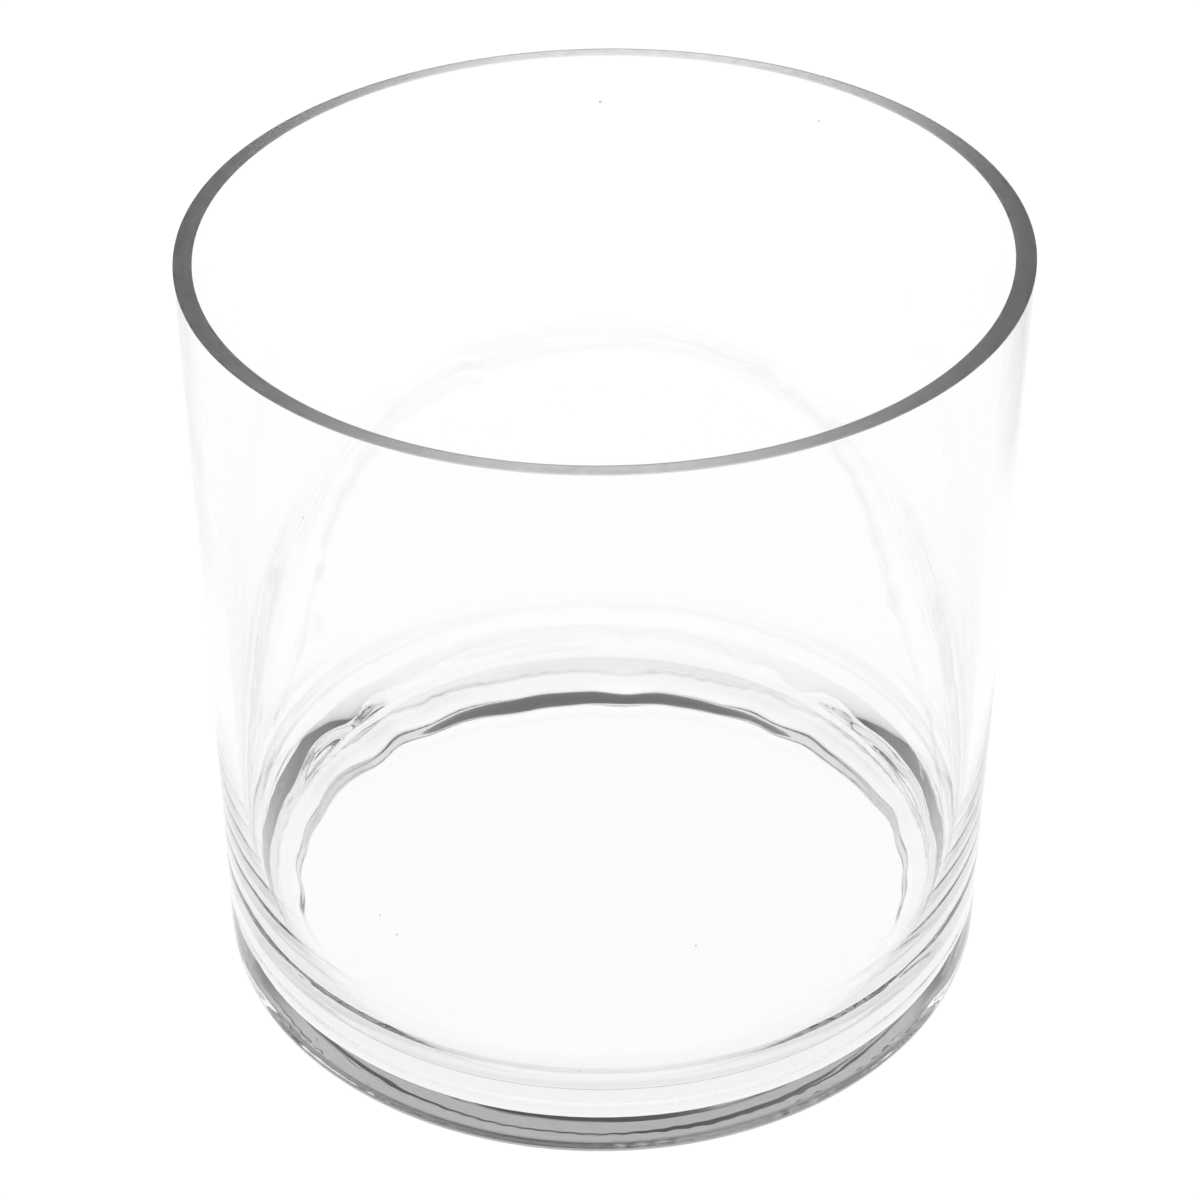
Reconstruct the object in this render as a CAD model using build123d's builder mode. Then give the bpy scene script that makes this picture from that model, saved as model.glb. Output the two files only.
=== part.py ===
"""One-piece clear glass dish: a straight cylinder, open at the top, its wall thickening down into the base.

Frame: origin at the centre of the resting plane, +Z up along the axis, millimetres.
"""

import os
from math import asin, degrees, exp

from build123d import *

# Driving dimensions, mm
OUTER_DIAMETER = 200.0
HEIGHT = 200.0
WALL = 4.3  # at the rim and through the upper part
WALL_LOW = 10.5  # just above the inner corner
TAPER_LENGTH = 12.0  # height over which the extra thickness falls by a factor of e
TAPER_TOP = 85.0  # above this the inner wall is straight
BASE_THICKNESS = 4.3  # glass between the edge of the floor and the resting plane
CORNER_WIDTH = 7.3  # inner corner, wall to floor, a quarter ellipse
CORNER_HEIGHT = 8.2
HEEL_WIDTH = 19.2  # outer bottom edge, a wide and low quarter ellipse
HEEL_HEIGHT = 1.4
PUNT_RISE = 1.2  # how far the underside is pushed up at its centre
FOOT_RING_INNER = 77.0  # inner radius of the flat ring the dish stands on
FLOOR_CROWN = 2.0  # the floor is a little higher at its centre
RIM_ARRIS = 0.45  # ground arris on both edges of the flat rim

outer_r = OUTER_DIAMETER / 2
inner_r = outer_r - WALL
low_r = outer_r - WALL_LOW  # inner radius where the corner starts
low_z = BASE_THICKNESS + CORNER_HEIGHT
floor_edge_r = low_r - CORNER_WIDTH

# The underside and the floor are shallow spherical caps centred on the axis.
punt_r = (FOOT_RING_INNER**2 + PUNT_RISE**2) / (2 * PUNT_RISE)
punt_half_deg = degrees(asin(FOOT_RING_INNER / punt_r))
floor_r = (floor_edge_r**2 + FLOOR_CROWN**2) / (2 * FLOOR_CROWN)
floor_half_deg = degrees(asin(floor_edge_r / floor_r))

# The inner wall eases outwards with height, fast just above the corner and then ever more slowly.
end_share = exp(-(TAPER_TOP - low_z) / TAPER_LENGTH)


def inner_wall_r(z):
    share = (exp(-(z - low_z) / TAPER_LENGTH) - end_share) / (1 - end_share)
    return inner_r - (inner_r - low_r) * share


taper_points = [
    (inner_wall_r(low_z + (TAPER_TOP - low_z) * k / 12), low_z + (TAPER_TOP - low_z) * k / 12)
    for k in range(13)
]

# The dish is one piece of glass, so it is one solid: half of its cross-section turned about the axis.
with BuildPart() as dish_body:
    with BuildSketch(Plane.XZ) as section:
        with BuildLine():
            punt = CenterArc((0, PUNT_RISE - punt_r), punt_r, 90 - punt_half_deg, punt_half_deg)
            foot_ring = Line((FOOT_RING_INNER, 0), (outer_r - HEEL_WIDTH, 0))
            heel = EllipticalCenterArc(
                (outer_r - HEEL_WIDTH, HEEL_HEIGHT), HEEL_WIDTH, HEEL_HEIGHT, start_angle=270, arc_size=90
            )
            outer_wall = Line((outer_r, HEEL_HEIGHT), (outer_r, HEIGHT))
            rim = Line((outer_r, HEIGHT), (inner_r, HEIGHT))
            upper_wall = Line((inner_r, HEIGHT), (inner_r, TAPER_TOP))
            taper = Spline(*reversed(taper_points))
            corner = EllipticalCenterArc(
                (floor_edge_r, low_z), CORNER_WIDTH, CORNER_HEIGHT, start_angle=270, arc_size=90
            )
            floor = CenterArc(
                (0, BASE_THICKNESS + FLOOR_CROWN - floor_r),
                floor_r,
                90 - floor_half_deg,
                floor_half_deg,
            )
            axis_line = Line((0, BASE_THICKNESS + FLOOR_CROWN), (0, PUNT_RISE))
        make_face()
        rim_corners = section.vertices().group_by(Axis.Y)[-1]
        chamfer(rim_corners, length=RIM_ARRIS)
    revolve(axis=Axis.Z)

dish_body.part.label = "dish_body"

os.makedirs("parts", exist_ok=True)
export_step(dish_body.part, "parts/dish_body.step")

print("volume cm3", dish_body.part.volume / 1000, "solids", len(dish_body.part.solids()))
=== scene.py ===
"""Clear glass dish: the visual model, its bright-field studio and the camera.

Metres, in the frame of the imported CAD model: origin at the centre of the resting plane, +Z up.
"""

import math

import bpy
import numpy as np
from mathutils import Matrix, Vector


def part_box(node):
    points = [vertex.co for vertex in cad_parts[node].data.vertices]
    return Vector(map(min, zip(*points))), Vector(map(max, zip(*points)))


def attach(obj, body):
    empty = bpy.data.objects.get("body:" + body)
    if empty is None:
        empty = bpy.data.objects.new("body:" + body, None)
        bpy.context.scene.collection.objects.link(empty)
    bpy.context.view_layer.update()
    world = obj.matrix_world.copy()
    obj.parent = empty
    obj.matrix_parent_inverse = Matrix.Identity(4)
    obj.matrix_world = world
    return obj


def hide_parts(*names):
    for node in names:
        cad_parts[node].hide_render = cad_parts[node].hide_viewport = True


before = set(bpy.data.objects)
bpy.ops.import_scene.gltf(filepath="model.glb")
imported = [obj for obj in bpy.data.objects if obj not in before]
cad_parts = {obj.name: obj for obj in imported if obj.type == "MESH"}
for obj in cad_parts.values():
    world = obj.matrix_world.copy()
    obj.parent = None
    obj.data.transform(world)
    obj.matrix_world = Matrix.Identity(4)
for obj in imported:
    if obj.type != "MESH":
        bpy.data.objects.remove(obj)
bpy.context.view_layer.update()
MM = 0.001

# ---------------------------------------------------------------- sizes, from the CAD node's own box
lo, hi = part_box("dish_body")
R = (hi.x - lo.x) / 2 / MM  # outer radius, mm
H = (hi.z - lo.z) / MM  # height, mm
CX, CY, CZ = (hi.x + lo.x) / 2 / MM, (hi.y + lo.y) / 2 / MM, lo.z / MM

WALL = 4.3  # wall thickness at the rim
FOOT_WALL = 10.5  # wall thickness just above the inner corner
TAPER = 12.0  # height over which the wall thins by a factor of e
BASE = 4.3  # glass under the floor, at its edge
CROWN = 2.0  # extra thickness at the middle of the floor
CORNER_R, CORNER_Z, CORNER_POWER = 7.3, 8.2, 2.08  # inner corner, a superellipse
STEP, STEP_AT, STEP_OVAL, STEP_HALF = 3.0, 80.0, 4.3, 2.3  # slumped ridge round most of the floor: height, mean radius, how far it is oval, half-width
CREASE, CREASE_AT, CREASE_OVAL, CREASE_HALF = 0.30, 87.2, 2.0, 0.8  # a fine fold above it, in the corner
HEEL_R, HEEL_Z, HEEL_POWER = 19.2, 1.35, 2.06  # outer bottom edge, a superellipse
BACK_LIFT, LIFT_FROM = 1.1, 84.5  # the same edge lies higher on the uneven side, from this radius outwards
PUNT, FOOT_IN = 1.2, 77.0  # hollow of the underside and inner radius of the foot ring
ARRIS, RIM_BEVEL = 0.45, 0.9  # stoned edges of the ground rim: their depth, and the width of the inner one

OVAL, OVAL_AT = 0.0123, math.radians(45.0)  # the mouth of blown glass is a little oval
AZIMUTHS = 720


# ---------------------------------------------------------------- smooth deterministic noise
class Waves:
    """Periodic noise round the axis: a sum of sines with seeded phases, about -1 to 1."""

    def __init__(self, seed, low, high, fall=1.0):
        g = np.random.default_rng(seed)
        self.k = np.arange(low, high + 1)
        self.a = g.normal(size=len(self.k)) / self.k**fall
        self.b = g.normal(size=len(self.k)) / self.k**fall
        s = math.sqrt((self.a**2 + self.b**2).sum() / 2)
        self.a, self.b = self.a / s / 2, self.b / s / 2

    def __call__(self, th):
        th = np.asarray(th)[..., None]
        return (self.a * np.cos(self.k * th) + self.b * np.sin(self.k * th)).sum(-1)


def smooth(x, a, b):
    t = np.clip((x - a) / (b - a), 0, 1)
    return t * t * (3 - 2 * t)


# ---------------------------------------------------------------- section of the glass, half of it
def section():
    """Points from the middle of the underside, out, up, over the rim, down inside and to the middle of the floor.
    Each is (radius, height, part): part 0 underside and heel, 1 outer wall, 2 rim, 3 inner wall, 4 corner, 5 floor."""
    p = []
    foot = min(FOOT_IN, R - HEEL_R - 0.3)
    for r in foot * np.linspace(0, 1, 12) ** 0.8:
        p.append((r, PUNT * (1 - (r / foot) ** 2), 0))
    for a in np.radians(np.linspace(-90, 0, 15)):
        c, s = abs(math.cos(a)), abs(math.sin(a))
        p.append((R - HEEL_R + HEEL_R * c ** (2 / HEEL_POWER), HEEL_Z - HEEL_Z * s ** (2 / HEEL_POWER), 0))
    for z in HEEL_Z + (H - ARRIS - 0.3 - HEEL_Z) * np.linspace(0, 1, 26)[1:] ** 1.7:
        p.append((R, z, 1))
    for a in np.radians([0, 30, 60, 90]):
        p.append((R - ARRIS + ARRIS * math.cos(a), H - ARRIS + ARRIS * math.sin(a), 2))
    p.append((R - ARRIS - 0.15, H, 2))
    p.append((R - WALL + RIM_BEVEL + 0.15, H, 2))
    for a in np.radians([90, 112, 135, 157, 180]):
        p.append((R - WALL + RIM_BEVEL * (1 + math.cos(a)), H - ARRIS + ARRIS * math.sin(a), 2))
    z0 = BASE + CORNER_Z
    for z in z0 + (H - ARRIS - 0.3 - z0) * np.linspace(1, 0, 30) ** 1.8:
        p.append((R - WALL - (FOOT_WALL - WALL) * math.exp(-(z - z0) / TAPER), z, 3))
    rb = R - FOOT_WALL
    for a in np.radians(np.linspace(0, -90, 32))[1:]:
        c, s = abs(math.cos(a)), abs(math.sin(a))
        p.append((rb - CORNER_R + CORNER_R * c ** (2 / CORNER_POWER), z0 - CORNER_Z * s ** (2 / CORNER_POWER), 4))
    rf = rb - CORNER_R
    for r in np.concatenate([np.linspace(rf, 70, 22)[1:], 70 * np.linspace(1, 0, 9)[1:] ** 0.8]):
        p.append((r, BASE + CROWN * (1 - (r / rf) ** 2), 5))
    return np.array(p)


# ---------------------------------------------------------------- the blown, uneven surface
def shape():
    """Grid of points (AZIMUTHS, section points, 3), in mm, about the axis, and the section's part numbers."""
    sec = section()
    th = np.linspace(0, 2 * math.pi, AZIMUTHS, endpoint=False)[:, None]
    t1 = th[:, 0]
    part = sec[:, 2].astype(int)
    r = np.tile(sec[:, 0], (AZIMUTHS, 1))
    z = np.tile(sec[:, 1], (AZIMUTHS, 1))
    s = np.concatenate([[0], np.cumsum(np.hypot(np.diff(sec[:, 0]), np.diff(sec[:, 1])))])
    d = np.gradient(sec[:, :2], axis=0)
    out = np.stack([d[:, 1], -d[:, 0]], -1)  # outward normal of the section
    out /= np.linalg.norm(out, axis=1)[:, None]
    inner = part >= 3

    # wall thickness round the mouth, thicker at the sides than at the front and back
    drift = 0.25 * np.cos(t1) + 0.35 * np.cos(2 * t1) + 0.1 * np.sin(t1)
    rim_in = (part == 2) & (sec[:, 0] < R - WALL / 2)
    fade = np.where(rim_in, 1.0, np.where(part == 3, smooth(sec[:, 1], 60, 170), 0.0))
    r -= drift[:, None] * fade

    # long waves of the free inner surface
    w_wall = np.where(part == 3, np.exp(-(((sec[:, 1] - 45) / 40) ** 2)), 0.0)
    push = 0.16 * Waves(11, 2, 9)(t1)[:, None] * w_wall
    w_mid = np.where(part == 3, np.exp(-(((sec[:, 1] - 95) / 45) ** 2)), 0.0)
    push = push + 0.05 * Waves(12, 3, 12)(t1)[:, None] * w_mid

    # the inner corner, where the gather sagged unevenly
    at = s[np.argmax(part == 4)]
    end = s[np.argmax(part == 5)]
    mid, span = (at + end) / 2, end - at
    low = np.exp(-(((s - (mid + 0.30 * span)) / (0.40 * span)) ** 2)) * inner
    high = np.exp(-(((s - (mid - 0.35 * span)) / (0.40 * span)) ** 2)) * inner
    some = 0.02 + 0.98 * smooth(np.sin(t1), -0.75, 0.15)  # one side of the gather is more even than the rest
    push = push + CORNER_WAVE * some[:, None] * (
        (0.4 * Waves(21, 3, 11)(t1) + 0.35 * Waves(22, 12, 34)(t1))[:, None] * low
        + (0.7 * Waves(23, 3, 10)(t1) + 0.45 * Waves(22, 12, 34)(t1))[:, None] * high
    )
    push = push + CORNER_FINE * Waves(24, 60, 120, 0.2)(t1)[:, None] * (low + high)

    # a slumped ridge round the floor, on all but the more even side: its outside is the higher
    uneven = smooth(np.sin(t1), -0.62, -0.1)[:, None]
    wander = 1.0 * Waves(22, 12, 34)(t1) + 1.5 * Waves(26, 3, 11)(t1)
    line = STEP_AT - STEP_OVAL * np.cos(2 * (t1 - math.pi / 2)) + wander
    tall = STEP * (1 + 0.15 * Waves(27, 2, 9)(t1))
    half = (STEP_HALF * (0.72 + 0.28 * np.cos(2 * (t1 - math.pi / 2))))[:, None]  # gentler at the back, sharper at the sides
    t = np.clip((r - line[:, None] + half) / (2 * half), 0, 1)
    low = (part >= 4) * (1 - smooth(sec[:, 1], BASE + 0.15 * CORNER_Z, BASE + CORNER_Z))
    z += tall[:, None] * t * t * (3 - 2 * t) * uneven * low
    fold = CREASE_AT - CREASE_OVAL * np.cos(2 * (t1 - math.pi / 2)) + 0.6 * wander + 0.25 * Waves(24, 60, 120, 0.2)(t1)
    push = push - CREASE * uneven * np.exp(-(((r - fold[:, None]) / CREASE_HALF) ** 2)) * (part == 4)
    lift = np.where(part == 0, smooth(sec[:, 0], LIFT_FROM, R), np.where(part == 1, 1 - smooth(sec[:, 1], 0, 40), 0.0))
    z += BACK_LIFT * uneven * lift

    # turned-mould marks low on the outer wall
    zz = sec[:, 1]
    marks = sum(
        a * np.sin(2 * math.pi * zz / pitch + ph) for a, pitch, ph in ((1.0, 11.3, 0.4), (0.8, 7.1, 2.1), (0.5, 4.9, 4.4), (0.35, 3.7, 1.2))
    )
    fade = np.where(part == 1, (1 - smooth(zz, 30, 95)) * smooth(zz, 2, 8), 0.0)
    r -= MOULD_MARK * (1.3 + marks)[None, :] * fade

    # the outer bottom edge was fire-polished unevenly; HEEL_WAVE is 0, so this moves nothing
    heel = (part == 0) * smooth(sec[:, 0], R - HEEL_R - 4, R - HEEL_R * 0.4) * (1 - smooth(zz, HEEL_Z * 0.8, HEEL_Z * 1.2))
    z += HEEL_WAVE * (1.0 + Waves(31, 4, 30, 0.4)(t1))[:, None] * heel

    # the ground rim is flat to a few hundredths
    z -= np.where(part == 2, 0.02, 0.0) * (1 + Waves(41, 2, 7)(t1))[:, None]

    r += push * out[:, 0]
    z += push * out[:, 1]

    # oval at the mouth, rounder at the foot where the mould held it
    oval = 1 + OVAL * (0.45 + 0.55 * smooth(z, 0, H)) * np.cos(2 * (th - OVAL_AT))
    r = r * oval * 0.9996
    z = np.clip(z, 0, H)
    pts = np.stack([CX + r * np.cos(th), CY + r * np.sin(th), CZ + z], -1)
    return pts, part


CORNER_WAVE, CORNER_FINE, MOULD_MARK, HEEL_WAVE = 1.0, 0.02, 0.02, 0.0


def dish_mesh():
    pts, part = shape()
    na, n = pts.shape[:2]
    verts = [pts[0, 0]]
    verts += list(pts[:, 1:-1].reshape(-1, 3))
    verts.append(pts[0, -1])
    verts = np.array(verts) * MM
    m = n - 2
    j = np.arange(na)
    a = 1 + j * m
    c = 1 + ((j + 1) % na) * m
    i = np.arange(m - 1)
    quads = np.stack([a[:, None] + i, c[:, None] + i, c[:, None] + i + 1, a[:, None] + i + 1], -1).reshape(-1, 4)
    faces = [tuple(f) for f in quads.tolist()]
    faces += [(0, int(y), int(x)) for x, y in zip(a, c)]
    faces += [(int(x) + m - 1, int(y) + m - 1, len(verts) - 1) for x, y in zip(a, c)]

    # seeds: small closed bubbles inside the glass
    verts = [tuple(v) for v in verts]
    for az, rad, h, size in SEEDS:
        base = len(verts)
        e = np.array([math.cos(math.radians(az)), math.sin(math.radians(az)), 0.0])
        mid = np.array([CX, CY, CZ]) + rad * e + np.array([0, 0, h])
        rings, segs = 7, 12
        verts.append(tuple((mid + [0, 0, size]) * MM))
        for q in range(1, rings):
            f = math.pi * q / rings
            for w in range(segs):
                u = 2 * math.pi * w / segs
                verts.append(tuple((mid + size * np.array([math.sin(f) * math.cos(u), math.sin(f) * math.sin(u), math.cos(f)])) * MM))
        verts.append(tuple((mid - [0, 0, size]) * MM))
        last = len(verts) - 1
        for w in range(segs):  # turned towards the air inside the bubble
            x, y = base + 1 + w, base + 1 + (w + 1) % segs
            faces.append((base, y, x))
            for q in range(rings - 2):
                o = q * segs
                faces.append((x + o, y + o, y + o + segs, x + o + segs))
            o = (rings - 2) * segs
            faces.append((x + o, y + o, last))

    me = bpy.data.meshes.new("dish_body_glass")
    me.from_pydata(verts, [], faces)
    me.validate()
    me.update()
    me.polygons.foreach_set("use_smooth", [True] * len(me.polygons))
    return me


# azimuth in degrees, radius, height and size in mm
SEEDS = (
    (91.0, 97.8, 186.0, 0.35),
    (56.0, 97.8, 189.0, 0.25),
    (205.0, 60.0, 4.4, 0.35),
    (266.0, 82.0, 5.0, 0.40),
    (310.0, 38.0, 5.2, 0.30),
    (20.0, 97.9, 120.0, 0.22),
    (150.0, 97.9, 88.0, 0.28),
    (238.0, 97.8, 64.0, 0.25),
)

me = dish_mesh()
dish = bpy.data.objects.new("dish_body_glass", me)
bpy.context.scene.collection.objects.link(dish)


# ---------------------------------------------------------------- glass
def glass():
    m = bpy.data.materials.new("clear_soda_lime_glass")
    m.use_nodes = True
    nt = m.node_tree
    b = nt.nodes["Principled BSDF"]
    b.inputs["Base Color"].default_value = (1, 1, 1, 1)
    b.inputs["Transmission Weight"].default_value = 1
    b.inputs["IOR"].default_value = 1.52
    co = nt.nodes.new("ShaderNodeTexCoord")
    xyz = nt.nodes.new("ShaderNodeSeparateXYZ")
    nt.links.new(co.outputs["Object"], xyz.inputs[0])
    # the ground rim: satin, everything above the stoned edges
    rim = nt.nodes.new("ShaderNodeMapRange")
    nt.links.new(xyz.outputs["Z"], rim.inputs["Value"])
    rim.inputs["From Min"].default_value = (CZ + H - ARRIS * 1.1) * MM
    rim.inputs["From Max"].default_value = (CZ + H - ARRIS * 0.5) * MM
    # grinding texture: grain of a tenth of a millimetre over slow patches of a few millimetres
    grain = nt.nodes.new("ShaderNodeTexNoise")
    nt.links.new(co.outputs["Object"], grain.inputs["Vector"])
    grain.inputs["Scale"].default_value = 380.0
    grain.inputs["Detail"].default_value = 4.0
    rough = nt.nodes.new("ShaderNodeMapRange")
    nt.links.new(grain.outputs["Fac"], rough.inputs["Value"])
    rough.inputs["From Min"].default_value = 0.3
    rough.inputs["From Max"].default_value = 0.7
    rough.inputs["To Min"].default_value = RIM_ROUGH * 0.85
    rough.inputs["To Max"].default_value = RIM_ROUGH * 1.15
    mul = nt.nodes.new("ShaderNodeMath")
    mul.operation = "MULTIPLY"
    nt.links.new(rim.outputs[0], mul.inputs[0])
    nt.links.new(rough.outputs[0], mul.inputs[1])
    nt.links.new(mul.outputs[0], b.inputs["Roughness"])
    # faint cords in the melt: waves of 15 to 40 mm a few microns deep
    cords = nt.nodes.new("ShaderNodeTexNoise")
    nt.links.new(co.outputs["Object"], cords.inputs["Vector"])
    cords.inputs["Scale"].default_value = 32.0
    cords.inputs["Detail"].default_value = 2.0
    bump = nt.nodes.new("ShaderNodeBump")
    nt.links.new(cords.outputs["Fac"], bump.inputs["Height"])
    bump.inputs["Strength"].default_value = 1.0
    bump.inputs["Distance"].default_value = CORDS
    nt.links.new(bump.outputs[0], b.inputs["Normal"])
    v = nt.nodes.new("ShaderNodeVolumeAbsorption")
    v.inputs["Color"].default_value = (0.5, 0.5, 0.5, 1)
    v.inputs["Density"].default_value = DENSITY
    nt.links.new(v.outputs[0], nt.nodes["Material Output"].inputs["Volume"])
    return m


RIM_ROUGH, CORDS, DENSITY = 0.85, 0.00003, 7.5
dish.data.materials.append(glass())
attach(dish, "root")
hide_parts("dish_body")

# ---------------------------------------------------------------- floor
bpy.ops.mesh.primitive_circle_add(vertices=96, radius=40, fill_type="NGON", location=(0, 0, CZ * MM - 0.00005))
floor = bpy.context.object
floor.name = "floor"
fm = bpy.data.materials.new("white_floor")
fm.use_nodes = True
fb = fm.node_tree.nodes["Principled BSDF"]
fb.inputs["Base Color"].default_value = (0.12, 0.12, 0.12, 1)
fb.inputs["Roughness"].default_value = 1
fb.inputs["Specular IOR Level"].default_value = 0
fb.inputs["Emission Color"].default_value = (1, 1, 1, 1)
fb.inputs["Emission Strength"].default_value = 1.0
floor.data.materials.append(fm)

# ---------------------------------------------------------------- soft light: a tall lit backdrop, a low bright band all round, a dark ceiling
LOW, TOP, SIDE, SOFT = 15.0, 57.0, 60.0, 3.0  # degrees
BACK, BAND, CEILING = 0.97, 0.95, 0.05


def studio():
    w = bpy.data.worlds.new("studio")
    bpy.context.scene.world = w
    w.use_nodes = True
    nt = w.node_tree
    bg = nt.nodes["Background"]
    co = nt.nodes.new("ShaderNodeTexCoord")
    xyz = nt.nodes.new("ShaderNodeSeparateXYZ")
    nt.links.new(co.outputs["Generated"], xyz.inputs[0])

    def maths(op, a, b=None):
        n = nt.nodes.new("ShaderNodeMath")
        n.operation = op
        for k, v in enumerate((a, b)):
            if v is None:
                continue
            if isinstance(v, (int, float)):
                n.inputs[k].default_value = v
            else:
                nt.links.new(v, n.inputs[k])
        return n.outputs[0]

    def below(v, edge, soft):
        n = nt.nodes.new("ShaderNodeMapRange")
        n.interpolation_type = "SMOOTHSTEP"
        nt.links.new(v, n.inputs["Value"])
        n.inputs["From Min"].default_value = edge - soft
        n.inputs["From Max"].default_value = edge + soft
        n.inputs["To Min"].default_value = 1
        n.inputs["To Max"].default_value = 0
        return n.outputs[0]

    x, y, z = xyz.outputs["X"], xyz.outputs["Y"], xyz.outputs["Z"]
    height = maths("MULTIPLY", maths("ARCSINE", z), 57.29578)
    flat = maths("SQRT", maths("MAXIMUM", maths("SUBTRACT", 1.0, maths("MULTIPLY", z, z)), 1e-6))
    turn = maths("MULTIPLY", maths("ARCCOSINE", maths("MINIMUM", maths("MAXIMUM", maths("DIVIDE", y, flat), -1.0), 1.0)), 57.29578)
    band = maths("MULTIPLY", below(height, LOW, SOFT), BAND - CEILING)
    back = maths("MULTIPLY", maths("MULTIPLY", below(height, TOP, SOFT), below(turn, SIDE, 12.0)), BACK - CEILING)
    light = maths("ADD", maths("MAXIMUM", band, back), CEILING)
    grey = nt.nodes.new("ShaderNodeCombineXYZ")
    for k in range(3):
        nt.links.new(light, grey.inputs[k])
    nt.links.new(grey.outputs[0], bg.inputs["Color"])
    bg.inputs["Strength"].default_value = 1.0


studio()

# ---------------------------------------------------------------- camera
FOCAL = 3005.26 / 1200 * 36
PITCH, YAW, ROLL = 0.6285, -0.0017, 0.0044
cam = bpy.data.cameras.new("camera")
camera = bpy.data.objects.new("camera", cam)
bpy.context.scene.collection.objects.link(camera)
cam.sensor_width = 36
cam.lens = FOCAL
fw = Vector((math.sin(YAW) * math.cos(PITCH), math.cos(YAW) * math.cos(PITCH), -math.sin(PITCH)))
right = fw.cross(Vector((0, 0, 1))).normalized()
up = right.cross(fw)
side = right * math.cos(ROLL) + up * math.sin(ROLL)
top = up * math.cos(ROLL) - right * math.sin(ROLL)
M = Matrix((side, top, -fw)).transposed().to_4x4()
M.translation = Vector((CX * MM, CY * MM - 6.1546 * R * MM, CZ * MM + 5.4272 * R * MM))
camera.matrix_world = M
bpy.context.scene.camera = camera

sc = bpy.context.scene
sc.view_settings.view_transform = "Standard"
sc.cycles.max_bounces = 64
sc.cycles.transmission_bounces = 64
sc.cycles.glossy_bounces = 48
sc.cycles.diffuse_bounces = 3
sc.cycles.caustics_reflective = True
sc.cycles.caustics_refractive = True
sc.cycles.use_denoising = True
